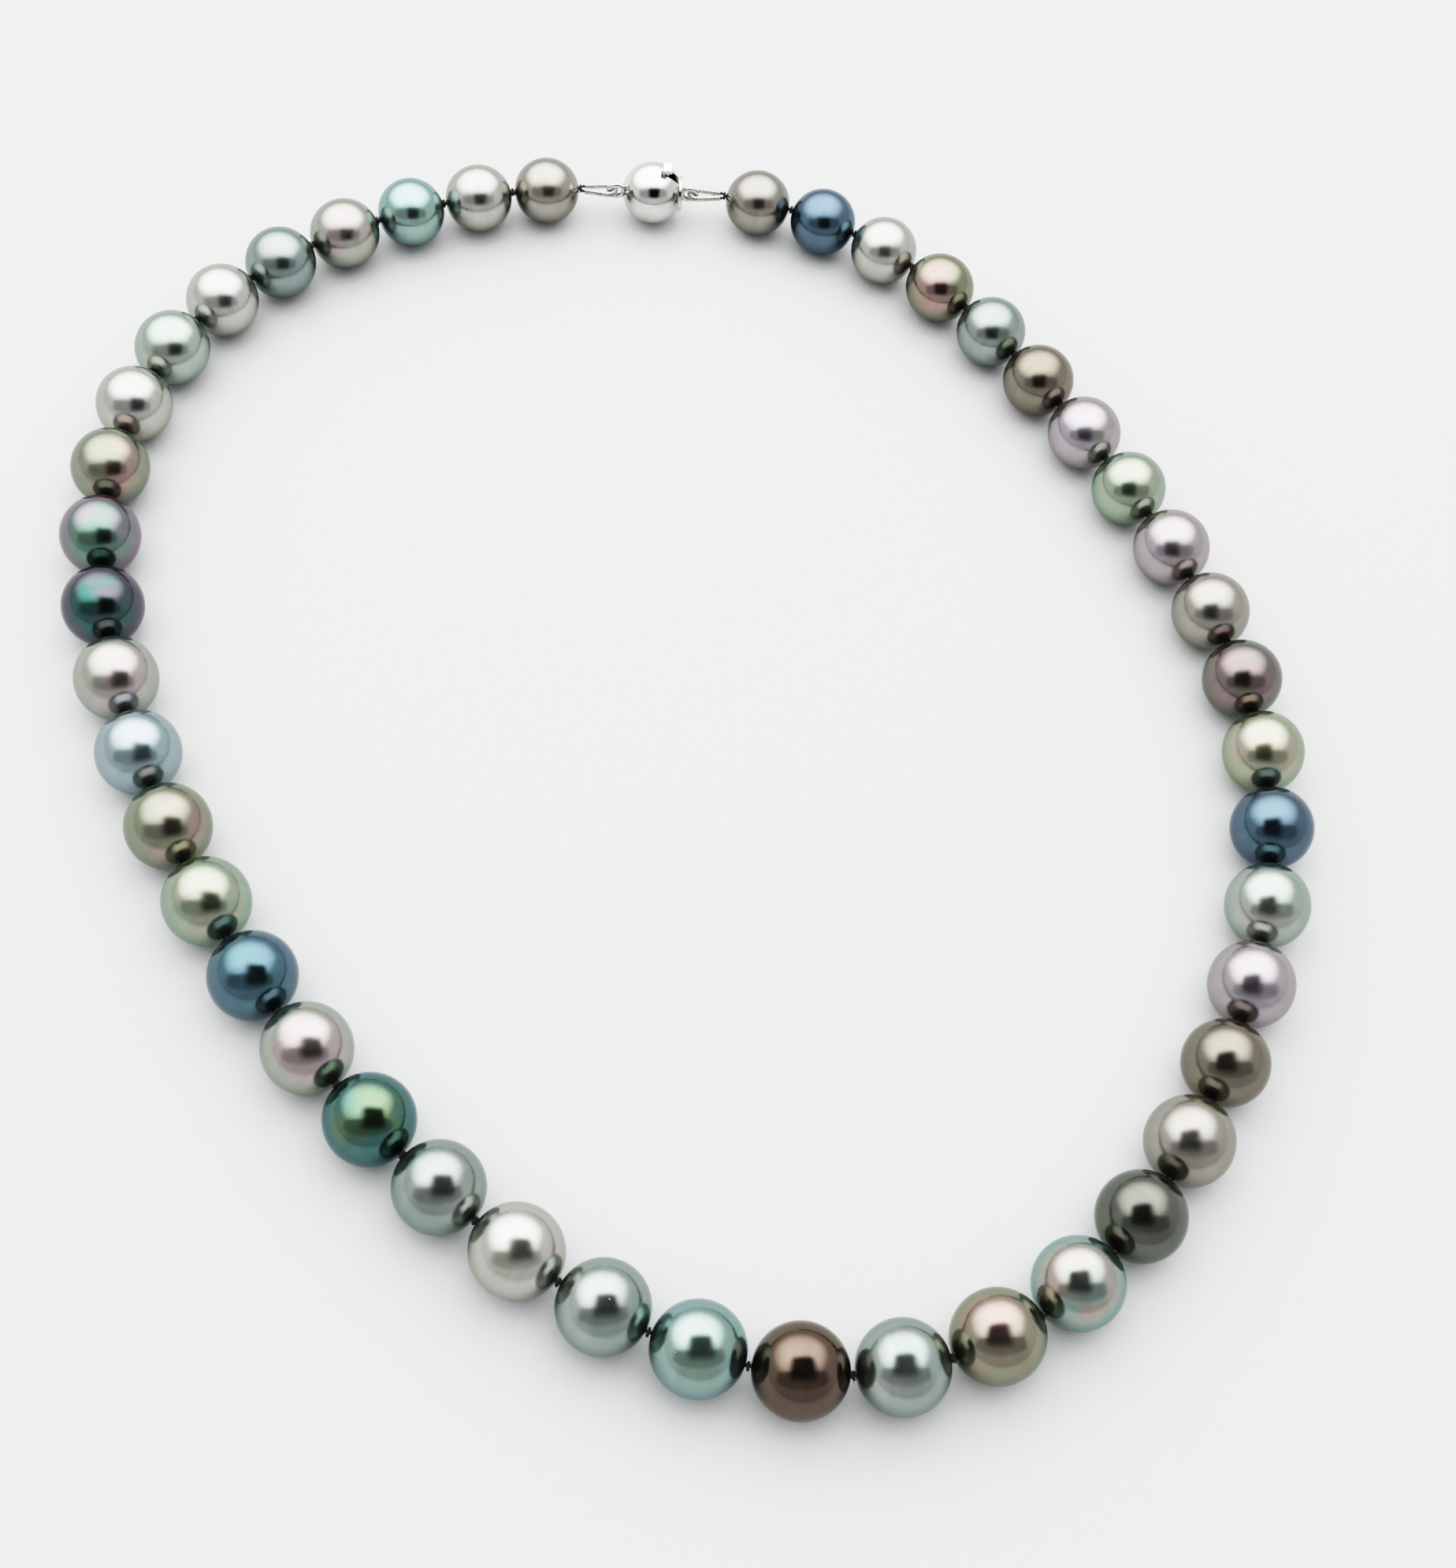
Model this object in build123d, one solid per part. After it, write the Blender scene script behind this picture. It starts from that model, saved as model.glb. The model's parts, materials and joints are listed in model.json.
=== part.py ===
from build123d import *
import math
import os

# A pearl necklace, fastened and laid flat. Millimetres. +X is to the right, +Y is to the back
# where the clasp is, +Z is up. The origin is under the middle of the loop, on the surface.

# The strand.
pearl_count = 44
front_pearl_diameter = 9.9
grading = 0.15            # the end pearls are this share smaller than the front ones
off_round = 0.015         # a pearl's length differs from its width by up to this share
off_round_turn = 2.4      # radians, spreads the off-round shapes unevenly along the strand

# The silk and its fit in the pearls.
bore_diameter = 0.8
bore_mouth = 0.12         # rounding of the drill hole's rim
silk_clearance = 0.15     # between the silk and the bore, all round
pearl_gap = 0.55          # between two pearls, room for one knot
knot_clearance = 0.07     # between a knot and the pearl on each side of it
knot_rounding = 0.45      # the knot's edges are rounded by this share of its length
knot_overhang = 0.2       # a knot is this much wider than the bore, all round

# The clasp: a hollow ball with a slot, and a folded tongue that snaps into it.
ball_diameter = 8.0
ball_wall = 0.35
mouth_set_back = 0.7      # the ball is cut flat this far inside its round outline
sheet = 0.3               # thickness of the tongue's two leaves
tongue_width = 2.6
tongue_reach = 2.2        # the tongue's fold lies this far beyond the ball's centre
tongue_clearance = 0.12   # between the tongue and the sides of the slot
hinge_clearance = 0.03    # between the leaf's bead and the fold around it
leaf_length = 5.1
leaf_rise = 13.0          # degrees that the sprung leaf stands above the fixed one
leaf_press = 8.0          # degrees that the thumb can push it down
post_length = 0.5
post_width = 1.0
post_position = 3.9       # from the fold to the thumb post
pad_lift = 0.3            # from the top of the ball to the underside of the thumb pad
pad_length = 1.2
pad_width = 1.6
pad_thickness = 0.4
cap_thickness = 0.45
cap_gap = 0.08            # between the ball's flat mouth and the tongue's cap

# The rings on the clasp and the wire-covered silk loops through them.
ring_wire = 0.7
ring_hole = 1.2
ring_sink = 0.15          # the ring is soldered this deep into the ball or the cap
gimp_diameter = 0.8
gimp_bore = 0.5
gimp_clearance = 0.05     # between the loop and the ring's wire
gimp_leg = 3.25           # straight part of the loop
gimp_spread = 0.42        # the two legs stand this far off the middle where they end
silk_bare = 0.15          # the silk comes out of the wire this far before it turns inward
silk_tail = 0.5           # from the end of the wire to the middle of the last knot

# How the strand lies: waves added to an even bend, as (cosine, sine) shares of it. The first pair
# belongs to the wave that goes twice round the loop, the next to three times, and so on.
lie_waves = [(0.29, 0.29), (0.13, 0.11), (0.20, -0.10), (0.02, 0.31)]

# Sizes that follow from the ones above.
silk_diameter = bore_diameter - 2 * silk_clearance
knot_length = pearl_gap - 2 * knot_clearance
knot_width = bore_diameter + 2 * knot_overhang
ball_radius = ball_diameter / 2
mouth_x = ball_radius - mouth_set_back
bead_radius = sheet
fold_inner = bead_radius + hinge_clearance
fold_outer = fold_inner + sheet
pressed_rise = leaf_rise - leaf_press
slot_half_width = tongue_width / 2 + tongue_clearance
slot_top = leaf_length * math.sin(math.radians(pressed_rise)) + sheet / 2 + tongue_clearance
slot_bottom = -fold_outer - tongue_clearance
groove_half_width = post_width / 2 + tongue_clearance
ring_radius = (ring_hole + ring_wire) / 2
ring_centre = ball_radius + ring_radius - ring_sink
loop_centre = ring_centre + ring_radius
loop_radius = (ring_wire + gimp_diameter) / 2 + gimp_clearance
clasp_reach = loop_centre + gimp_leg + silk_tail


def pearl_width(index):
    """Across the bore. The strand is graded: largest at the front, smaller to both ends."""
    from_front = 2 * index / (pearl_count - 1) - 1
    return front_pearl_diameter * (1 - grading * from_front**2)


def pearl_length(index):
    """Along the bore. Natural pearls are a little longer or flatter than round."""
    return pearl_width(index) * (1 + off_round * math.sin(off_round_turn * index))


def link_lengths():
    """The straight runs from knot to knot: half the clasp, every pearl, the other half."""
    pearls = [pearl_length(index) + pearl_gap for index in range(pearl_count)]
    return [clasp_reach] + pearls + [clasp_reach]


def knot_bends(slow_wave):
    """The bend at each knot, in radians. Together they make one full turn."""
    links = link_lengths()
    total = sum(links)
    waves = [slow_wave] + lie_waves
    bends = []
    travelled = 0.0
    for before, after in zip(links, links[1:]):
        travelled += before
        around = 2 * math.pi * (travelled / total - 0.5)
        share = 1.0
        for order, (cosine, sine) in enumerate(waves, start=1):
            share += cosine * math.cos(order * around) + sine * math.sin(order * around)
        bends.append(share * (before + after) / 2)
    scale = 2 * math.pi / sum(bends)
    return [bend * scale for bend in bends]


def walk(bends):
    """Follow the links from the clasp's middle. Returns their ends and their headings."""
    heading = math.pi
    x = 0.0
    y = 0.0
    ends = []
    headings = [heading]
    for length, bend in zip(link_lengths(), bends + [0.0]):
        x += length * math.cos(heading)
        y += length * math.sin(heading)
        ends.append((x, y))
        heading += bend
        headings.append(heading)
    return ends, headings


def closed_bends():
    """Find the once-round wave that brings the strand back to where it starts."""
    cosine = 0.0
    sine = 0.0
    step = 1e-5
    refinements = 20
    for _ in range(refinements):
        miss_x, miss_y = walk(knot_bends((cosine, sine)))[0][-1]
        cos_x, cos_y = walk(knot_bends((cosine + step, sine)))[0][-1]
        sin_x, sin_y = walk(knot_bends((cosine, sine + step)))[0][-1]
        x_by_cosine = (cos_x - miss_x) / step
        x_by_sine = (sin_x - miss_x) / step
        y_by_cosine = (cos_y - miss_y) / step
        y_by_sine = (sin_y - miss_y) / step
        spread = x_by_cosine * y_by_sine - x_by_sine * y_by_cosine
        cosine -= (y_by_sine * miss_x - x_by_sine * miss_y) / spread
        sine -= (x_by_cosine * miss_y - y_by_cosine * miss_x) / spread
    return knot_bends((cosine, sine))


def lay_out():
    """The knots as points, the clasp's middle, and the bend at each knot in radians."""
    bends = closed_bends()
    ends, headings = walk(bends)
    clasp_x, clasp_y = ends[-1]
    flat_knots = ends[:-1]
    lows = [(clasp_x - ball_radius, clasp_y - ball_radius)]
    highs = [(clasp_x + ball_radius, clasp_y + ball_radius)]
    for index in range(pearl_count):
        (x0, y0), (x1, y1) = flat_knots[index], flat_knots[index + 1]
        heading = headings[index + 1]
        along = pearl_length(index) / 2
        across = pearl_width(index) / 2
        half_x = math.hypot(along * math.cos(heading), across * math.sin(heading))
        half_y = math.hypot(along * math.sin(heading), across * math.cos(heading))
        lows.append(((x0 + x1) / 2 - half_x, (y0 + y1) / 2 - half_y))
        highs.append(((x0 + x1) / 2 + half_x, (y0 + y1) / 2 + half_y))
    middle_x = (min(x for x, y in lows) + max(x for x, y in highs)) / 2
    middle_y = (min(y for x, y in lows) + max(y for x, y in highs)) / 2
    heights = [pearl_width(index) / 2 for index in range(pearl_count)]
    between = [(low + high) / 2 for low, high in zip(heights, heights[1:])]
    clasp_height = max(heights[0], ball_radius)
    knot_heights = [clasp_height] + between + [clasp_height]
    knots = [
        Vector(x - middle_x, y - middle_y, height)
        for (x, y), height in zip(flat_knots, knot_heights)
    ]
    clasp = (knots[0] + knots[-1]) * 0.5
    return knots, clasp, bends


def placed_along(start, end):
    """A location halfway between two points, its X axis along the line, its Z axis upward."""
    along = (end - start).normalized()
    sideways = Vector(0, 0, 1).cross(along).normalized()
    return Plane(origin=(start + end) * 0.5, x_dir=along, z_dir=along.cross(sideways)).location


def make_pearl(length, width):
    """A drilled pearl, turned about its bore along X."""
    above_bore = Pos(0, (bore_diameter + width) / 2) * Rectangle(length, width)
    pearl = revolve(Ellipse(length / 2, width / 2) & above_bore, Axis.X)
    rims = pearl.edges().filter_by(GeomType.CIRCLE).group_by(SortBy.RADIUS)[0]
    return fillet(rims, bore_mouth)


def make_knot(start, knot, end):
    """A knot pulled tight, a round-edged drum that faces halfway between its two neighbours."""
    drum = Rot(0, 90, 0) * Cylinder(knot_width / 2, knot_length)
    drum = fillet(drum.edges().filter_by(GeomType.CIRCLE), knot_rounding * knot_length)
    before = (knot - start).normalized()
    after = (end - knot).normalized()
    half_step = (before + after) * (knot_length / 2)
    return placed_along(knot - half_step, knot + half_step) * drum


def make_cord(start, end):
    """The straight run of silk in one pearl, from inside one knot to inside the next."""
    run = end - start
    inside_knot = run.normalized() * (knot_length / 4)
    section = Plane(origin=start + inside_knot, z_dir=run) * Circle(silk_diameter / 2)
    return extrude(section, run.length - knot_length / 2)


def loop_path(side, leg):
    """The middle line of a silk loop through a clasp ring, in the clasp's own frame."""
    leg_end = Vector(side * (loop_centre + leg), gimp_spread, 0)
    centre = Vector(side * loop_centre, 0, 0)
    outward = leg_end - centre
    lean = math.acos(loop_radius / outward.length) + math.atan2(gimp_spread, leg)
    touch = centre + Vector(side * loop_radius * math.cos(lean), loop_radius * math.sin(lean), 0)
    bottom = centre - Vector(side * loop_radius, 0, 0)
    mirrored_touch = Vector(touch.X, -touch.Y, 0)
    mirrored_end = Vector(leg_end.X, -leg_end.Y, 0)
    curve = Line(leg_end, touch) + ThreePointArc(touch, bottom, mirrored_touch)
    return curve + Line(mirrored_touch, mirrored_end), leg_end, mirrored_end


def sweep_round(path, start, radius):
    """A round bar along a path that starts at the given point."""
    section = Plane(origin=start, z_dir=path % 0) * Circle(radius)
    return sweep(section, path=path, transition=Transition.ROUND)


def make_gimp(side):
    """The coil of fine wire that covers the silk loop, as a bent tube."""
    path, start, _ = loop_path(side, gimp_leg)
    return sweep_round(path, start, gimp_diameter / 2) - sweep_round(path, start, gimp_bore / 2)


def make_silk_loop(side):
    """The silk inside the wire coil, and its two ends, side by side in the last knot."""
    path, start, finish = loop_path(side, gimp_leg + silk_bare)
    radius = gimp_bore / 2 - gimp_clearance
    off_middle = radius + gimp_clearance / 2
    first_end = Vector(side * clasp_reach, off_middle, 0)
    second_end = Vector(side * clasp_reach, -off_middle, 0)
    whole_path = Line(first_end, start) + path + Line(finish, second_end)
    return sweep_round(whole_path, first_end, radius)


def make_ring(side):
    """The upright ring on one end of the clasp."""
    return Pos(side * ring_centre, 0, 0) * Rot(90, 0, 0) * Torus(ring_radius, ring_wire / 2)


def cut_beyond(solid, x):
    """The solid without everything to the right of x."""
    block = Box(ball_diameter, ball_diameter, ball_diameter)
    return solid - Pos(x + ball_radius, 0, 0) * block


def make_clasp_ball():
    """The hollow ball, cut flat at its mouth, with the tongue's slot and the post's groove."""
    inner_radius = ball_radius - ball_wall
    ball = cut_beyond(Sphere(ball_radius), mouth_x)
    hollow = cut_beyond(Sphere(inner_radius), mouth_x - ball_wall)
    slot_depth = 3 * ball_wall
    slot = Box(slot_depth, 2 * slot_half_width, slot_top - slot_bottom)
    slot = Pos(mouth_x, 0, (slot_top + slot_bottom) / 2) * slot
    groove_start = post_position - tongue_reach - post_length / 2 - tongue_clearance
    groove_length = ball_radius - groove_start
    groove = Box(groove_length, 2 * groove_half_width, ball_radius + slot_top)
    groove = Pos(groove_start + groove_length / 2, 0, ball_radius / 2) * groove
    ring = make_ring(-1) - Sphere(inner_radius + ball_wall / 2)
    return (ball - hollow - slot - groove) + ring


def make_clasp_tongue():
    """The fixed half of the tongue: cap, ring, lower leaf and the fold that holds the bead."""
    cap_x = mouth_x + cap_gap
    cap_radius = math.sqrt(ball_radius**2 - mouth_x**2)
    cap = Pos(cap_x + cap_thickness / 2, 0, 0) * Rot(0, 90, 0) * Cylinder(cap_radius, cap_thickness)
    cap = fillet(cap.edges().group_by(Axis.X)[-1], cap_thickness / 2)
    leaf_run = cap_x + cap_thickness / 2 + tongue_reach
    leaf = Box(leaf_run, tongue_width, sheet)
    leaf = Pos(leaf_run / 2 - tongue_reach, 0, -fold_inner - sheet / 2) * leaf
    upper_side = Rectangle(2 * fold_outer, 2 * fold_outer)
    upper_side = Pos(fold_outer, fold_outer - fold_inner) * upper_side
    fold = extrude(Circle(fold_outer) - Circle(fold_inner) - upper_side, tongue_width)
    fold = Pos(-tongue_reach, tongue_width / 2, 0) * Rot(90, 0, 0) * fold
    return cap + make_ring(1) + leaf + fold


def make_clasp_leaf():
    """The sprung leaf that catches behind the slot, with its thumb post and pad."""
    bead = Rot(90, 0, 0) * Cylinder(bead_radius, tongue_width)
    leaf = Pos(leaf_length / 2, 0, 0) * Box(leaf_length, tongue_width, sheet)
    leaf = Rot(0, -leaf_rise, 0) * leaf
    pad_bottom = ball_radius + pad_lift
    post_foot = post_position * math.tan(math.radians(leaf_rise))
    post_height = pad_bottom + pad_thickness / 2 - post_foot
    post = Box(post_length, post_width, post_height)
    post = Pos(post_position, 0, post_foot + post_height / 2) * post
    pad = Box(pad_length, pad_width, pad_thickness)
    pad = Pos(post_position, 0, pad_bottom + pad_thickness / 2) * pad
    pad = fillet(pad.edges().group_by(Axis.Z)[-1], pad_thickness / 3)
    return Pos(-tongue_reach, 0, 0) * (bead + leaf + post + pad)


def make_silk(knots, clasp_frame):
    """One cord from ring to ring, through every pearl, with a knot on each side of each pearl."""
    clasp = clasp_frame.position
    corners = [clasp] + knots + [clasp]
    pieces = [make_knot(*corners[index : index + 3]) for index in range(pearl_count + 1)]
    pieces += [make_cord(start, end) for start, end in zip(knots, knots[1:])]
    pieces += [clasp_frame * make_silk_loop(side) for side in (-1, 1)]
    return pieces[0].fuse(*pieces[1:])


def build_all():
    """Every piece in its place, by node name."""
    knots, clasp, _ = lay_out()
    clasp_frame = Location(clasp)
    parts = {}
    for index in range(pearl_count):
        pearl = make_pearl(pearl_length(index), pearl_width(index))
        parts[f"pearl_{index + 1:02d}"] = placed_along(knots[index], knots[index + 1]) * pearl
    parts["silk_thread"] = make_silk(knots, clasp_frame)
    parts["gimp_ball_end"] = clasp_frame * make_gimp(-1)
    parts["gimp_tongue_end"] = clasp_frame * make_gimp(1)
    parts["clasp_ball"] = clasp_frame * make_clasp_ball()
    parts["clasp_tongue"] = clasp_frame * make_clasp_tongue()
    parts["clasp_leaf"] = clasp_frame * make_clasp_leaf()
    return parts


if __name__ == "__main__":
    os.makedirs("parts", exist_ok=True)
    for node, shape in build_all().items():
        export_step(shape, f"parts/{node}.step")
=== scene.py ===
import json
import math
import random

import bpy
from mathutils import Matrix, Vector

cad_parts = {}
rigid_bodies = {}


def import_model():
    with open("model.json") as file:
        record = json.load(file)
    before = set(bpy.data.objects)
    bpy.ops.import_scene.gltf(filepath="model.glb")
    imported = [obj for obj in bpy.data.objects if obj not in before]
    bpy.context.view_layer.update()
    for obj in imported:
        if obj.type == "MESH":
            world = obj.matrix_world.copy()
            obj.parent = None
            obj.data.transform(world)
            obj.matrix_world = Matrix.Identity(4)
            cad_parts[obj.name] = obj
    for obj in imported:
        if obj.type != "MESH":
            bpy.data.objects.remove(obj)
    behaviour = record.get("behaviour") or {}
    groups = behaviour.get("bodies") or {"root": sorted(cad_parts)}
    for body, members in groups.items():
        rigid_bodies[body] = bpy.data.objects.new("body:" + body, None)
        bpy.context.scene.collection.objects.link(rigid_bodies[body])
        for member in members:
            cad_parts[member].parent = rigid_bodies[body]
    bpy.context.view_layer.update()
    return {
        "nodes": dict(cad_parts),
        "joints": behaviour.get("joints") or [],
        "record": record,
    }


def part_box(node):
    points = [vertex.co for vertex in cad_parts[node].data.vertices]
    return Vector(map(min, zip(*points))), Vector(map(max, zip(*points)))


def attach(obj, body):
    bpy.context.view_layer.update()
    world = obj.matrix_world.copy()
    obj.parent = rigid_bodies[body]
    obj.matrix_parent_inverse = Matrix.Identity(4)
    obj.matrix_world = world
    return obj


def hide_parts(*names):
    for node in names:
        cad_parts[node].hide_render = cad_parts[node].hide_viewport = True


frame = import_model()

# The looks of a knotted strand of dark pearls, lying fastened on a pale surface.
# Lengths in this script are in metres; MM turns millimetres into them.
MM = 0.001
TURN = 2 * math.pi

# Sizes shared with the CAD model.
PEARL_COUNT = 44
PEARL_GAP = 0.55 * MM
BORE_RADIUS = 0.4 * MM
BORE_MOUTH = 0.12 * MM
SILK_RADIUS = 0.25 * MM
KNOT_RADIUS = 0.6 * MM
LOOP_CENTRE = 5.75 * MM
LOOP_RADIUS = 0.8 * MM
GIMP_RADIUS = 0.4 * MM
GIMP_LEG = 3.25 * MM
GIMP_SPREAD = 0.42 * MM
SILK_IN_GIMP_RADIUS = 0.2 * MM
SILK_BARE = 0.15 * MM
CLASP_REACH = 9.5 * MM
LEGS_IN_KNOT = 0.225 * MM
SILK_STEP = 0.12 * MM

# The look of each pearl tone: (colour seen straight on, colour of its sheen, roughness). The sheen
# colour, blended in towards each pearl's rim, is partly the pearl's own overtone and partly painted
# shade: it is kept darker than the body to stand in for the dim ring at a pearl's edge.
NACRE = {
    "silver": ((0.43, 0.42, 0.41), (0.36, 0.37, 0.32), 0.20),
    "pewter": ((0.30, 0.29, 0.27), (0.24, 0.23, 0.20), 0.20),
    "silver_green": ((0.37, 0.37, 0.35), (0.24, 0.31, 0.26), 0.20),
    "sea_silver": ((0.30, 0.32, 0.31), (0.20, 0.25, 0.22), 0.19),
    "ice_blue": ((0.28, 0.34, 0.36), (0.28, 0.33, 0.34), 0.20),
    "teal": ((0.27, 0.30, 0.29), (0.20, 0.25, 0.24), 0.20),
    "steel_teal": ((0.09, 0.15, 0.17), (0.11, 0.14, 0.17), 0.16),
    "peacock": ((0.14, 0.22, 0.18), (0.23, 0.16, 0.21), 0.17),
    "deep_teal": ((0.05, 0.12, 0.11), (0.14, 0.09, 0.12), 0.16),
    "deep_peacock": ((0.13, 0.18, 0.12), (0.06, 0.13, 0.16), 0.15),
    "rose_moss": ((0.31, 0.24, 0.22), (0.17, 0.23, 0.17), 0.19),
    "rose_silver": ((0.38, 0.33, 0.33), (0.28, 0.33, 0.27), 0.20),
    "green_gold": ((0.34, 0.34, 0.28), (0.23, 0.31, 0.25), 0.19),
    "aqua": ((0.27, 0.34, 0.30), (0.21, 0.30, 0.31), 0.17),
    "pink_aqua": ((0.38, 0.32, 0.29), (0.18, 0.30, 0.28), 0.17),
    "bronze_rose": ((0.30, 0.23, 0.21), (0.17, 0.21, 0.15), 0.16),
    "aubergine": ((0.12, 0.09, 0.08), (0.12, 0.10, 0.08), 0.14),
    "mauve": ((0.22, 0.17, 0.18), (0.13, 0.15, 0.12), 0.17),
    "charcoal": ((0.13, 0.13, 0.12), (0.12, 0.13, 0.11), 0.17),
    "olive": ((0.21, 0.20, 0.17), (0.17, 0.15, 0.12), 0.18),
    "lavender": ((0.35, 0.33, 0.36), (0.30, 0.27, 0.26), 0.20),
    "indigo": ((0.11, 0.16, 0.19), (0.11, 0.13, 0.17), 0.17),
    "cream_gold": ((0.40, 0.35, 0.30), (0.23, 0.31, 0.22), 0.20),
}
# How far a colour stands from its own grey, and how bright the sheen is beside the body: below one, a
# painted shade at the rim.
BODY_COLOURFULNESS = 1.1
SHEEN_COLOURFULNESS = 1.3
SHEEN_PAINTED_SHADE = 0.95

# Pearl outline and surface.
AROUND = 72
ALONG = 52
MOUTH_STEPS = 4
BORE_STEPS = 6
SURFACE_RELIEF = 0.0028
SURFACE_WAVES = 5
GROWTH_RING_RELIEF = 0.35
GROWTH_RINGS = 26

# The silk in a pearl and in a knot.
RUN_STEPS = 60
KNOT_STEPS = 72
FIBRES_IN_KNOT = 5
FIBRE_STEPS = 5
FIBRE_RADIUS = 0.011 * MM

random.seed(7)

record = frame["record"]
slot_of = {part["node"]: part["material_slot"] for part in record["subparts"]}
pearls = [f"pearl_{number:02d}" for number in range(1, PEARL_COUNT + 1)]
chain = ["clasp_ball"] + pearls + ["clasp_tongue"]
joint_between = {frozenset((j["parent"], j["child"])): Vector(j["pos_m"]) for j in frame["joints"]}
knots = [joint_between[frozenset(pair)] for pair in zip(chain, chain[1:])]
clasp_middle = (knots[0] + knots[-1]) / 2


def new_piece(name, points, faces, place=None):
    """A smooth-shaded mesh object from points in the given place's own axes."""
    mesh = bpy.data.meshes.new(name)
    mesh.from_pydata([tuple(point) for point in points], [], faces)
    mesh.validate()
    mesh.polygons.foreach_set("use_smooth", [True] * len(mesh.polygons))
    mesh.update()
    piece = bpy.data.objects.new(name, mesh)
    if place is not None:
        piece.matrix_world = place
    bpy.context.scene.collection.objects.link(piece)
    return piece


def axes_along(start, end):
    """A place halfway between two points: X along the line, Z as upright as it can be."""
    along = (end - start).normalized()
    sideways = Vector((0, 0, 1)).cross(along).normalized()
    upward = along.cross(sideways)
    turn = Matrix((along, sideways, upward)).transposed().to_4x4()
    return Matrix.Translation((start + end) / 2) @ turn


def ring_faces(rings, sides, closed=False):
    """Quads between neighbouring rings of points; a closed run also joins its last ring to its first."""
    faces = []
    for ring in range(rings if closed else rings - 1):
        here = ring * sides
        there = (ring + 1) % rings * sides
        for side in range(sides):
            after = (side + 1) % sides
            faces.append((here + side, here + after, there + after, there + side))
    return faces


# --- Pearls -----------------------------------------------------------------------------------


def pearl_outline(length, width):
    """Half section of a drilled pearl as (along, out, share of surface relief) points."""
    half, radius = length / 2, width / 2
    mouth_out = BORE_RADIUS + BORE_MOUTH
    first_angle = math.asin(mouth_out / radius)
    mouth_along = half * math.cos(first_angle)
    outline = []
    for step in range(ALONG + 1):
        angle = first_angle + (math.pi - 2 * first_angle) * step / ALONG
        outline.append((-half * math.cos(angle), radius * math.sin(angle), math.sin(angle) ** 2))
    right_mouth = []
    for step in range(1, MOUTH_STEPS + 1):
        angle = math.pi / 2 * step / MOUTH_STEPS
        along = mouth_along - BORE_MOUTH * (1 - math.cos(angle))
        right_mouth.append((along, mouth_out - BORE_MOUTH * math.sin(angle), 0))
    bore_half = mouth_along - BORE_MOUTH
    bore = [
        (bore_half * (1 - 2 * step / BORE_STEPS), BORE_RADIUS, 0) for step in range(1, BORE_STEPS)
    ]
    left_mouth = [(-along, out, share) for along, out, share in reversed(right_mouth)]
    return outline + right_mouth + bore + left_mouth


def make_pearl(index):
    """One drilled pearl with the slight unevenness of a grown one."""
    start, end = knots[index], knots[index + 1]
    low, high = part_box(pearls[index])
    width = high.z - low.z
    length = (end - start).length - PEARL_GAP
    outline = pearl_outline(length, width)
    waves = [
        (random.uniform(-1, 1), random.choice((1, 2, 2, 3)), random.uniform(0, TURN),
         random.uniform(-2.5, 2.5))
        for _ in range(SURFACE_WAVES)
    ]
    growth_rings = random.uniform(0.2, 1.0)
    ring_turn = random.uniform(0, TURN)
    points = []
    for along, out, share in outline:
        height = along / length
        for side in range(AROUND):
            angle = TURN * side / AROUND
            swell = sum(
                size * math.cos(order * angle + turn + lean * height)
                for size, order, turn, lean in waves
            )
            swell += growth_rings * GROWTH_RING_RELIEF * math.sin(GROWTH_RINGS * height + ring_turn)
            grown = out * (1 + SURFACE_RELIEF * share * swell / 2)
            points.append((along, grown * math.cos(angle), grown * math.sin(angle)))
    faces = ring_faces(len(outline), AROUND, closed=True)
    piece = new_piece(f"nacre_{pearls[index][-2:]}", points, faces, axes_along(start, end))
    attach(piece, pearls[index])
    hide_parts(pearls[index])
    return piece


# --- Silk, wire and clasp ---------------------------------------------------------------------


def cross_frames(path, closed):
    """At each point of a path, two directions square to it that turn as little as possible."""
    count = len(path)
    headings = []
    for index in range(count):
        before = path[index - 1] if closed or index > 0 else path[index]
        after = path[(index + 1) % count] if closed or index < count - 1 else path[index]
        headings.append((after - before).normalized())
    side = headings[0].orthogonal().normalized()
    frames = []
    for heading in headings:
        side = (side - heading * side.dot(heading)).normalized()
        frames.append((side, heading.cross(side)))
    return frames


def tube(path, radius, sides, closed=False, lobes=0, lobe_depth=0.0, lay=0.0):
    """Points and faces of a round bar along a path. With lobes it is a twisted yarn: lay is the
    length in which its plies go once round."""
    frames = cross_frames(path, closed)
    points = []
    travelled = 0.0
    for index, middle in enumerate(path):
        if index:
            travelled += (middle - path[index - 1]).length
        across, over = frames[index]
        turned = TURN * travelled / lay if lay else 0.0
        for side in range(sides):
            angle = TURN * side / sides
            reach = radius * (1 - lobe_depth * (1 - math.cos(lobes * (angle - turned))) / 2)
            points.append(middle + (across * math.cos(angle) + over * math.sin(angle)) * reach)
    faces = ring_faces(len(path), sides, closed=closed)
    if not closed:
        faces.append(tuple(reversed(range(sides))))
        last = (len(path) - 1) * sides
        faces.append(tuple(range(last, last + sides)))
    return points, faces


def join(*shapes):
    """Several (points, faces) as one."""
    points, faces = [], []
    for more_points, more_faces in shapes:
        shift = len(points)
        points.extend(more_points)
        faces.extend(tuple(corner + shift for corner in face) for face in more_faces)
    return points, faces


def straight(start, end, steps):
    """Evenly spaced points from one point to another."""
    return [start.lerp(end, step / steps) for step in range(steps + 1)]


def silk_run(start, end):
    """The twisted silk from one knot to the next, inside a pearl."""
    line = straight(start, end, RUN_STEPS)
    return tube(line, SILK_RADIUS, 12, lobes=2, lobe_depth=0.35, lay=1.1 * MM)


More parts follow.
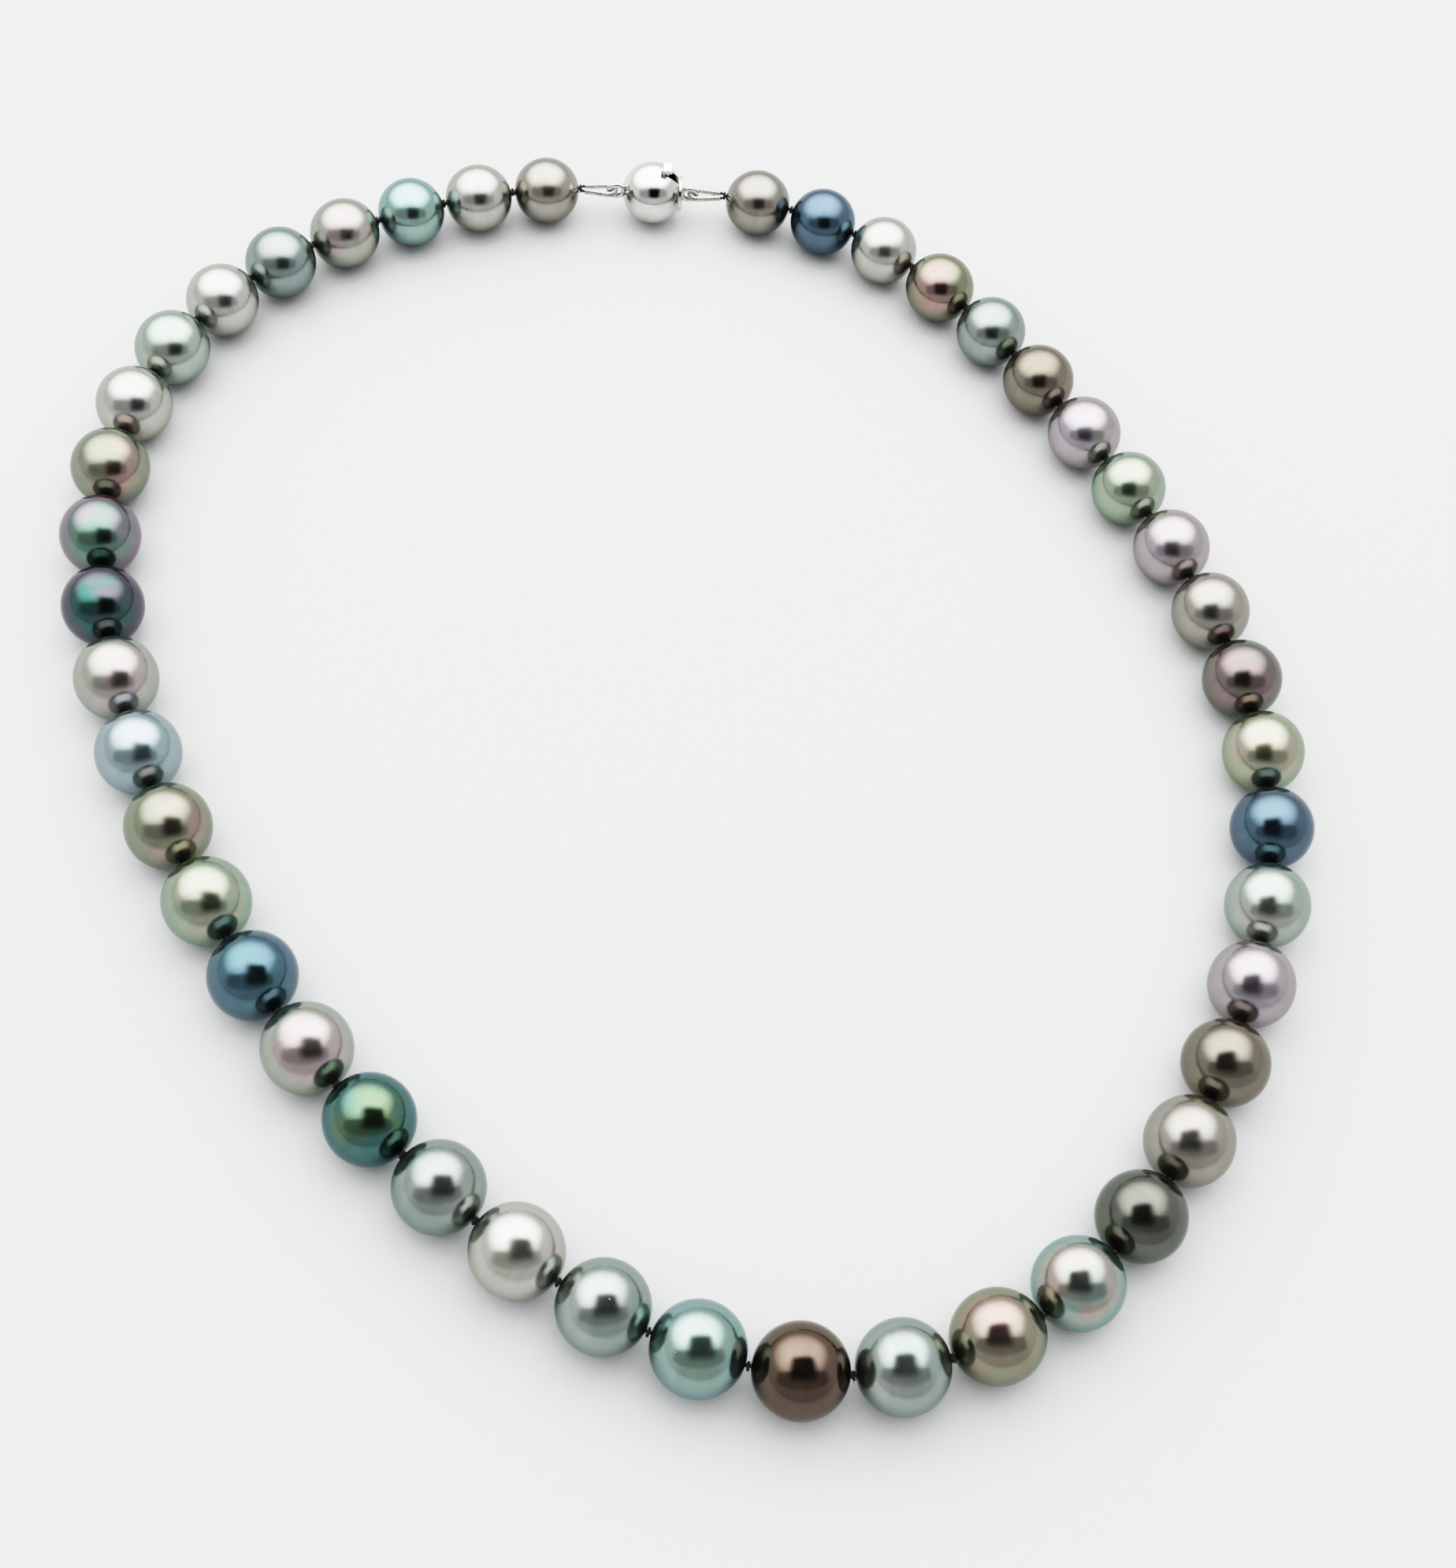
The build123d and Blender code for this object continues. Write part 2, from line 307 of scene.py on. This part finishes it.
def silk_knot(before, knot, after):
    """An overhand knot pulled tight: a flattened trefoil that faces halfway between its neighbours."""
    reach = 0.145 * MM
    thickness = 0.045 * MM
    yarn = KNOT_RADIUS - 3 * reach
    turned = random.uniform(0, TURN)
    path = []
    for step in range(KNOT_STEPS):
        angle = TURN * step / KNOT_STEPS
        y = reach * (math.sin(angle) + 2 * math.sin(2 * angle))
        z = reach * (math.cos(angle) - 2 * math.cos(2 * angle))
        x = -thickness * math.sin(3 * angle)
        turned_y = y * math.cos(turned) - z * math.sin(turned)
        turned_z = y * math.sin(turned) + z * math.cos(turned)
        path.append(Vector((x, turned_y, turned_z)))
    half_step = ((knot - before).normalized() + (after - knot).normalized()) / 2 * MM
    place = axes_along(knot - half_step, knot + half_step)
    points, faces = tube(path, yarn, 10, closed=True, lobes=2, lobe_depth=0.3, lay=0.5 * MM)
    fibres = [silk_fibre(yarn) for _ in range(FIBRES_IN_KNOT)]
    points, faces = join((points, faces), *fibres)
    return [place @ Vector(point) for point in points], faces


def silk_fibre(yarn):
    """A loose hair of silk that curls out of a knot, between the pearls."""
    out_angle = random.uniform(0, TURN)
    curl = random.uniform(-1.2, 1.2)
    length = random.uniform(0.25, 0.5) * MM
    side = random.uniform(-0.06, 0.06) * MM
    path = []
    for step in range(FIBRE_STEPS + 1):
        share = step / FIBRE_STEPS
        angle = out_angle + curl * share
        reach = KNOT_RADIUS - yarn + length * share
        path.append(Vector((side * (1 + share), reach * math.cos(angle), reach * math.sin(angle))))
    return tube(path, FIBRE_RADIUS, 4)


def loop_line(side, leg, steps=40):
    """The middle line of a silk loop through a clasp ring, from the end of one leg to the other."""
    centre = Vector((side * LOOP_CENTRE, 0, 0))
    leg_end = Vector((side * (LOOP_CENTRE + leg), GIMP_SPREAD, 0))
    lean = math.acos(LOOP_RADIUS / (leg_end - centre).length) + math.atan2(GIMP_SPREAD, leg)
    touch = centre + LOOP_RADIUS * Vector((side * math.cos(lean), math.sin(lean), 0))
    line = straight(leg_end, touch, steps)
    for step in range(1, 2 * steps):
        angle = lean + (TURN - 2 * lean) * step / (2 * steps)
        line.append(centre + LOOP_RADIUS * Vector((side * math.cos(angle), math.sin(angle), 0)))
    mirrored = [Vector((point.x, -point.y, 0)) for point in reversed(line[: steps + 1])]
    return line + mirrored


def even_steps(path, spacing):
    """The same line with its points about the given distance apart."""
    lengths = [0.0]
    for before, after in zip(path, path[1:]):
        lengths.append(lengths[-1] + (after - before).length)
    count = max(2, round(lengths[-1] / spacing))
    spaced = []
    at = 0
    for step in range(count + 1):
        target = lengths[-1] * step / count
        while at < len(path) - 2 and lengths[at + 1] < target:
            at += 1
        share = (target - lengths[at]) / (lengths[at + 1] - lengths[at])
        spaced.append(path[at].lerp(path[at + 1], share))
    return spaced


def gimp_coil(side):
    """French wire: a fine wire wound side by side round the silk loop."""
    wire_radius = 0.062 * MM
    pitch = 0.135 * MM
    steps_per_turn = 16
    line = even_steps(loop_line(side, GIMP_LEG - wire_radius), pitch / steps_per_turn)
    frames = cross_frames(line, closed=False)
    path = []
    for index, (middle, (across, over)) in enumerate(zip(line, frames)):
        angle = TURN * index / steps_per_turn
        winding = GIMP_RADIUS - wire_radius
        path.append(middle + (across * math.cos(angle) + over * math.sin(angle)) * winding)
    return tube(path, wire_radius, 6)


def silk_loop(side):
    """The silk inside the wire, whose two ends come together in the last knot."""
    line = loop_line(side, GIMP_LEG + SILK_BARE)
    first = Vector((side * CLASP_REACH, LEGS_IN_KNOT, 0))
    last = Vector((side * CLASP_REACH, -LEGS_IN_KNOT, 0))
    path = even_steps([first] + line + [last], SILK_STEP)
    return tube(path, SILK_IN_GIMP_RADIUS, 10, lobes=2, lobe_depth=0.3, lay=0.9 * MM)


def silk_piece(name, body, *shapes):
    """A length of silk that moves with one body of the strand."""
    points, faces = join(*shapes)
    piece = new_piece(name, points, faces)
    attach(piece, body)
    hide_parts("silk_thread")
    piece.data.materials.append(silk)
    return piece


def make_silk():
    """The silk in pieces, each on the pearl it runs through, so that the strand bends at the knots."""
    corners = [clasp_middle] + knots + [clasp_middle]
    made_knots = [silk_knot(*corners[at:at + 3]) for at in range(len(knots))]
    for index, pearl in enumerate(pearls):
        shapes = [silk_run(knots[index], knots[index + 1]), made_knots[index]]
        if index == PEARL_COUNT - 1:
            shapes.append(made_knots[index + 1])
        silk_piece(f"silk_{pearl[-2:]}", pearl, *shapes)
    for side, body in ((-1, "clasp_ball"), (1, "clasp_tongue")):
        points, faces = silk_loop(side)
        silk_piece(f"silk_loop_{body[6:]}", body, ([clasp_middle + point for point in points], faces))


def make_gimps():
    """The wire coils round the two silk loops at the clasp."""
    for side, body in ((-1, "clasp_ball"), (1, "clasp_tongue")):
        points, faces = gimp_coil(side)
        piece = new_piece(f"wire_loop_{body[6:]}", [clasp_middle + point for point in points], faces)
        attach(piece, body)
        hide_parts(f"gimp_{body[6:]}_end")
        piece.data.materials.append(gimp_wire)


# --- Materials --------------------------------------------------------------------------------
# Noise and cell scales are in features per millimetre.


class Nodes:
    """A material's node tree, with short ways to add and join nodes."""

    def __init__(self, name):
        self.material = bpy.data.materials.new(name)
        self.material.use_nodes = True
        self.tree = self.material.node_tree
        self.shader = self.tree.nodes["Principled BSDF"]
        self.output = self.tree.nodes["Material Output"]

    def add(self, kind, inputs=(), **settings):
        node = self.tree.nodes.new(kind)
        for key, value in settings.items():
            setattr(node, key, value)
        for key, value in dict(inputs).items():
            if isinstance(value, bpy.types.NodeSocket):
                self.tree.links.new(value, node.inputs[key])
            else:
                node.inputs[key].default_value = value
        return node

    def link(self, source, target):
        self.tree.links.new(source, target)

    def place(self, scale, shift=(0, 0, 0)):
        """Coordinates on the piece, scaled to millimetres and then by scale."""
        where = self.add("ShaderNodeTexCoord")
        size = Vector((scale, scale, scale)) if isinstance(scale, (int, float)) else Vector(scale)
        mapping = self.add(
            "ShaderNodeMapping",
            {"Vector": where.outputs["Object"], "Scale": size / MM, "Location": shift},
        )
        return mapping.outputs["Vector"]

    def noise(self, vector, scale, detail=2.0, roughness=0.5):
        node = self.add(
            "ShaderNodeTexNoise",
            {"Vector": vector, "Scale": scale, "Detail": detail, "Roughness": roughness},
        )
        return node.outputs["Fac"]

    def spread(self, value, low, high, to_low=0.0, to_high=1.0):
        """Map low..high of a value to another range, and hold it there outside."""
        node = self.add(
            "ShaderNodeMapRange",
            {"Value": value, "From Min": low, "From Max": high, "To Min": to_low, "To Max": to_high},
            interpolation_type="SMOOTHSTEP",
        )
        return node.outputs["Result"]

    def mix(self, share, first, second):
        node = self.add("ShaderNodeMix", data_type="RGBA")
        for key, value in (("Factor", share), ("A", first), ("B", second)):
            if isinstance(value, bpy.types.NodeSocket):
                self.link(value, node.inputs[key])
            else:
                node.inputs[key].default_value = value
        return node.outputs["Result"]

    def math(self, operation, first, second):
        node = self.add("ShaderNodeMath", {0: first, 1: second}, operation=operation)
        return node.outputs[0]

    def bump(self, height, distance, strength=1.0, below=None):
        inputs = {"Height": height, "Distance": distance, "Strength": strength}
        if below is not None:
            inputs["Normal"] = below
        return self.add("ShaderNodeBump", inputs).outputs["Normal"]


def rgba(colour, shade=1.0):
    return tuple(channel * shade for channel in colour) + (1.0,)


def tinted(colour, colourfulness, brightness=1.0):
    """Move a colour away from its own grey, or towards it, and change its brightness."""
    grey = sum(colour) / len(colour)
    return tuple((grey + (channel - grey) * colourfulness) * brightness for channel in colour)


def nacre(name, tone, seed):
    """Pearl surface: the tone's body under its sheen, drifting patches, faint rings and pits. The sheen
    towards the rim is partly the pearl's own overtone and partly painted shade, darker than the body.
    """
    centre, rim, roughness = NACRE[tone]
    centre = tinted(centre, BODY_COLOURFULNESS)
    rim = tinted(rim, SHEEN_COLOURFULNESS, SHEEN_PAINTED_SHADE)
    draw = random.Random(seed)
    shade = draw.uniform(0.94, 1.06)
    shift = tuple(draw.uniform(-50, 50) for _ in range(3))
    nodes = Nodes(name)
    local = nodes.place(1.0, shift)
    patches = nodes.spread(nodes.noise(local, 0.22, 2.0), 0.38, 0.68)
    rings = nodes.noise(nodes.place((0.9, 0.12, 0.12), shift), 1.0, 3.0)
    clouds = nodes.spread(rings, 0.3, 0.7, 0.93, 1.05)
    body = nodes.mix(nodes.math("MULTIPLY", patches, 0.6), rgba(centre, shade), rgba(rim, shade * 1.15))
    clouded = nodes.add("ShaderNodeVectorMath", {0: body}, operation="SCALE")
    nodes.link(clouds, clouded.inputs["Scale"])
    # Colour of the rim shader: the sheen colour drifting towards the body colour darkened to 0.8, a
    # painted shade at the rim.
    edge = nodes.mix(nodes.math("MULTIPLY", patches, 0.45), rgba(rim, shade), rgba(centre, shade * 0.8))

    grain = nodes.noise(local, 0.9, 2.0, 0.5)
    pit_cells = nodes.add("ShaderNodeTexVoronoi", {"Vector": local, "Scale": 0.55, "Randomness": 1.0})
    pits = nodes.spread(pit_cells.outputs["Distance"], 0.015, 0.07)
    relief = nodes.bump(grain, 0.006 * MM)
    relief = nodes.bump(pits, 0.02 * MM, 0.8, relief)
    gloss = nodes.spread(grain, 0.3, 0.7, roughness * 0.9, roughness * 1.15)

    face_on = nodes.shader
    rim_on = nodes.add("ShaderNodeBsdfPrincipled")
    for shader, colour in ((face_on, clouded.outputs[0]), (rim_on, edge)):
        shader.inputs["Metallic"].default_value = 0.95
        shader.inputs["IOR"].default_value = 1.53
        shader.inputs["Coat Weight"].default_value = 0.25
        shader.inputs["Coat Roughness"].default_value = 0.12
        shader.inputs["Coat IOR"].default_value = 1.45
        nodes.link(colour, shader.inputs["Base Color"])
        nodes.link(gloss, shader.inputs["Roughness"])
        nodes.link(relief, shader.inputs["Normal"])
        shader.inputs["Specular Tint"].default_value = (0.72, 0.74, 0.74, 1)
    # Blend towards the rim shader by facing: the pearl's overtone together with the painted shade at its
    # rim.
    facing = nodes.add("ShaderNodeLayerWeight", {"Blend": 0.5, "Normal": relief})
    sheen = nodes.spread(facing.outputs["Facing"], 0.1, 0.85)
    layers = nodes.add("ShaderNodeMixShader", {0: sheen, 1: face_on.outputs[0], 2: rim_on.outputs[0]})
    nodes.link(layers.outputs[0], nodes.output.inputs["Surface"])
    return nodes.material


def silk_material():
    """Dark knotted silk: fine filaments along the yarn with a soft sheen."""
    nodes = Nodes("dark_silk")
    local = nodes.place(1.0)
    filaments = nodes.noise(local, 22.0, 4.0, 0.7)
    wear = nodes.spread(nodes.noise(local, 3.0, 2.0), 0.35, 0.7)
    colour = nodes.mix(wear, (0.012, 0.010, 0.012, 1), (0.045, 0.038, 0.040, 1))
    shader = nodes.shader
    nodes.link(colour, shader.inputs["Base Color"])
    nodes.link(nodes.spread(filaments, 0.3, 0.7, 0.45, 0.75), shader.inputs["Roughness"])
    nodes.link(nodes.bump(filaments, 0.02 * MM), shader.inputs["Normal"])
    shader.inputs["Sheen Weight"].default_value = 0.35
    shader.inputs["Sheen Roughness"].default_value = 0.4
    return nodes.material


def gimp_material():
    """Drawn silver-coloured wire, softly tarnished in places."""
    nodes = Nodes("drawn_wire")
    local = nodes.place(1.0)
    tarnish = nodes.spread(nodes.noise(local, 1.3, 3.0), 0.45, 0.75)
    shader = nodes.shader
    colour = nodes.mix(tarnish, (0.72, 0.71, 0.69, 1), (0.46, 0.43, 0.38, 1))
    nodes.link(colour, shader.inputs["Base Color"])
    nodes.link(nodes.spread(tarnish, 0.0, 1.0, 0.18, 0.34), shader.inputs["Roughness"])
    nodes.link(nodes.bump(nodes.noise(local, 30.0, 2.0), 0.004 * MM), shader.inputs["Normal"])
    shader.inputs["Metallic"].default_value = 1.0
    return nodes.material


def clasp_material():
    """Polished white precious metal with hairline scratches and a few duller, handled places."""
    nodes = Nodes("polished_white_metal")
    local = nodes.place(1.0)
    handled = nodes.spread(nodes.noise(local, 0.5, 3.0), 0.4, 0.7)
    hairlines = nodes.noise(nodes.place((0.6, 9.0, 9.0)), 1.0, 4.0, 0.7)
    crossing = nodes.noise(nodes.place((8.0, 1.2, 0.7)), 1.0, 4.0, 0.7)
    scratches = nodes.math("ADD", hairlines, crossing)
    shader = nodes.shader
    colour = nodes.mix(handled, (0.62, 0.61, 0.59, 1), (0.53, 0.52, 0.50, 1))
    nodes.link(colour, shader.inputs["Base Color"])
    worn = nodes.math("MULTIPLY", nodes.spread(scratches, 0.8, 1.25), 0.10)
    dulled = nodes.spread(handled, 0, 1, 0.07, 0.16)
    nodes.link(nodes.math("ADD", dulled, worn), shader.inputs["Roughness"])
    nodes.link(nodes.bump(scratches, 0.003 * MM), shader.inputs["Normal"])
    shader.inputs["Metallic"].default_value = 1.0
    return nodes.material


def floor_material():
    """A pale matte surface with a barely visible grain, painted lighter away from the middle: painted
    light that brings the far floor up to the room's glow.
    """
    nodes = Nodes("pale_floor")
    local = nodes.place(1.0)
    grain = nodes.noise(local, 0.8, 4.0, 0.6)
    from_middle = nodes.add("ShaderNodeVectorMath", {0: local}, operation="LENGTH").outputs["Value"]
    near = nodes.mix(grain, (0.48, 0.485, 0.485, 1), (0.52, 0.525, 0.525, 1))
    # Painted light: from 250 mm to 1200 mm out, the floor turns lighter, as bright as the room's glow
    # far off.
    away = nodes.spread(from_middle, 250.0, 1200.0)
    colour = nodes.mix(away, near, (0.74, 0.745, 0.745, 1))
    nodes.link(colour, nodes.shader.inputs["Base Color"])
    nodes.shader.inputs["Roughness"].default_value = 0.7
    nodes.shader.inputs["Specular IOR Level"].default_value = 0.2
    return nodes.material


def glow_material(name, strength, edge):
    """A plain white light. It fades out over the given share of its half size towards its edges."""
    nodes = Nodes(name)
    shader = nodes.shader
    shader.inputs["Base Color"].default_value = (0, 0, 0, 1)
    shader.inputs["Specular IOR Level"].default_value = 0.0
    shader.inputs["Emission Color"].default_value = (1, 1, 1, 1)
    shader.inputs["Emission Strength"].default_value = strength
    where = nodes.add("ShaderNodeTexCoord")
    axes = nodes.add("ShaderNodeSeparateXYZ", {"Vector": where.outputs["Object"]})
    fades = []
    for axis in ("X", "Y"):
        off_middle = nodes.math("ABSOLUTE", axes.outputs[axis], 0.0)
        fades.append(nodes.spread(off_middle, 1 - edge, 1, 1, 0))
    nodes.link(nodes.math("MULTIPLY", fades[0], fades[1]), shader.inputs["Alpha"])
    return nodes.material


# --- The setting ------------------------------------------------------------------------------


def make_floor():
    reach = 3.0
    corners = [(-reach, -reach, 0), (reach, -reach, 0), (reach, reach, 0), (-reach, reach, 0)]
    floor = new_piece("floor", corners, [(0, 1, 2, 3)])
    floor.data.materials.append(floor_material())


def make_card(name, middle, width, height, strength, edge, lights=False):
    """A flat card that faces the strand for the pearls to mirror, upright in the camera's picture.
    The camera does not see it, and it lights matt surfaces only if told to."""
    toward = (AIM - middle).normalized()
    across = PICTURE_RIGHT - toward * PICTURE_RIGHT.dot(toward)
    across.normalize()
    upward = across.cross(toward) * -1
    points = [(1, 1, 0), (-1, 1, 0), (-1, -1, 0), (1, -1, 0)]
    turn = Matrix((across * width / 2, upward * height / 2, toward)).transposed().to_4x4()
    card = new_piece(name, points, [(0, 1, 2, 3)], Matrix.Translation(middle) @ turn)
    card.data.materials.append(glow_material(name, strength, edge))
    card.visible_camera = False
    card.visible_shadow = False
    card.visible_diffuse = lights


# The camera, round the strand: azimuth 0 is straight in front, and negative is to the left.
AZIMUTH = math.radians(-10.13)
ELEVATION = math.radians(60.53)
ROLL = math.radians(10.54)
AIM = Vector((5.08, -11.03, 5.0)) * MM
DISTANCE = 259.9 * MM


OUTWARD = Vector((
    math.sin(AZIMUTH) * math.cos(ELEVATION),
    -math.cos(AZIMUTH) * math.cos(ELEVATION),
    math.sin(ELEVATION),
))
LEVEL = Vector((math.cos(AZIMUTH), math.sin(AZIMUTH), 0))
PICTURE_RIGHT = math.cos(ROLL) * LEVEL + math.sin(ROLL) * OUTWARD.cross(LEVEL)
PICTURE_TOP = OUTWARD.cross(PICTURE_RIGHT)


def beside_camera(right, above, distance):
    """A point that distance from the aim, turned from the camera's direction by two angles in
    degrees: to the right and upward in the picture."""
    right, above = math.radians(right), math.radians(above)
    level = math.cos(right) * OUTWARD + math.sin(right) * PICTURE_RIGHT
    return AIM + (math.cos(above) * level + math.sin(above) * PICTURE_TOP) * distance


def make_camera():
    data = bpy.data.cameras.new("camera")
    data.lens = 52.72
    data.sensor_width = 36.0
    data.clip_start = 0.01
    camera = bpy.data.objects.new("camera", data)
    turn = Matrix((PICTURE_RIGHT, PICTURE_TOP, OUTWARD)).transposed().to_4x4()
    camera.matrix_world = Matrix.Translation(AIM + OUTWARD * DISTANCE) @ turn
    bpy.context.scene.collection.objects.link(camera)
    bpy.context.scene.camera = camera


def make_world():
    """Soft light from all round, weaker from the front where the room is darker."""
    world = bpy.data.worlds.new("soft_room")
    world.use_nodes = True
    tree = world.node_tree
    background = tree.nodes["Background"]
    background.inputs["Color"].default_value = (0.98, 0.99, 1.0, 1)
    where = tree.nodes.new("ShaderNodeTexCoord")
    toward_back = tree.nodes.new("ShaderNodeSeparateXYZ")
    strength = tree.nodes.new("ShaderNodeMapRange")
    tree.links.new(where.outputs["Generated"], toward_back.inputs[0])
    tree.links.new(toward_back.outputs["Y"], strength.inputs["Value"])
    strength.interpolation_type = "SMOOTHSTEP"
    strength.inputs["From Min"].default_value = -0.95
    strength.inputs["From Max"].default_value = 0.0
    strength.inputs["To Min"].default_value = FRONT_GLOW
    strength.inputs["To Max"].default_value = BACK_GLOW
    tree.links.new(strength.outputs["Result"], background.inputs["Strength"])
    bpy.context.scene.world = world


# Brightness of the room in front, of the room behind, and of the softbox.
FRONT_GLOW = 0.9
BACK_GLOW = 1.2
SOFTBOX_GLOW = 5.0


def make_lights():
    """A large softbox overhead, a dark lens and the dim band of whoever stands behind it."""
    make_card("softbox", beside_camera(-3, 54, 0.9), 3.8, 2.7, SOFTBOX_GLOW, edge=0.85, lights=True)
    make_card("lens", beside_camera(6, 1, 163 * MM), 228 * MM, 216 * MM, 0.0, edge=0.6)
    make_card("figure", beside_camera(3, -14, 0.5), 1.9, 0.45, 0.55, edge=0.4)


def set_tones():
    """A camera's response: full contrast in the darks and a soft shoulder towards white."""
    view = bpy.context.scene.view_settings
    view.view_transform = "Standard"
    view.use_curve_mapping = True
    curves = view.curve_mapping
    brightest = 5.0
    curves.white_level = (brightest, brightest, brightest)
    curve = curves.curves[3]
    response = [
        (0.04, 0.01), (0.1, 0.045), (0.2, 0.135), (0.5, 0.44),
        (1.0, 0.75), (1.5, 0.88), (2.2, 0.95), (3.0, 0.985),
    ]
    for light, shown in response:
        curve.points.new(light / brightest, shown)
    curves.update()


# --- Assembly ---------------------------------------------------------------------------------

silk = silk_material()
gimp_wire = gimp_material()
clasp_metal = clasp_material()

for number, pearl in enumerate(pearls):
    made = make_pearl(number)
    made.data.materials.append(nacre(f"nacre_{pearl[-2:]}", slot_of[pearl], number))

make_silk()
make_gimps()
for node in ("clasp_ball", "clasp_tongue", "clasp_leaf"):
    part = frame["nodes"][node]
    part.data.materials.clear()
    part.data.materials.append(clasp_metal)

make_floor()
make_world()
make_lights()
make_camera()
set_tones()
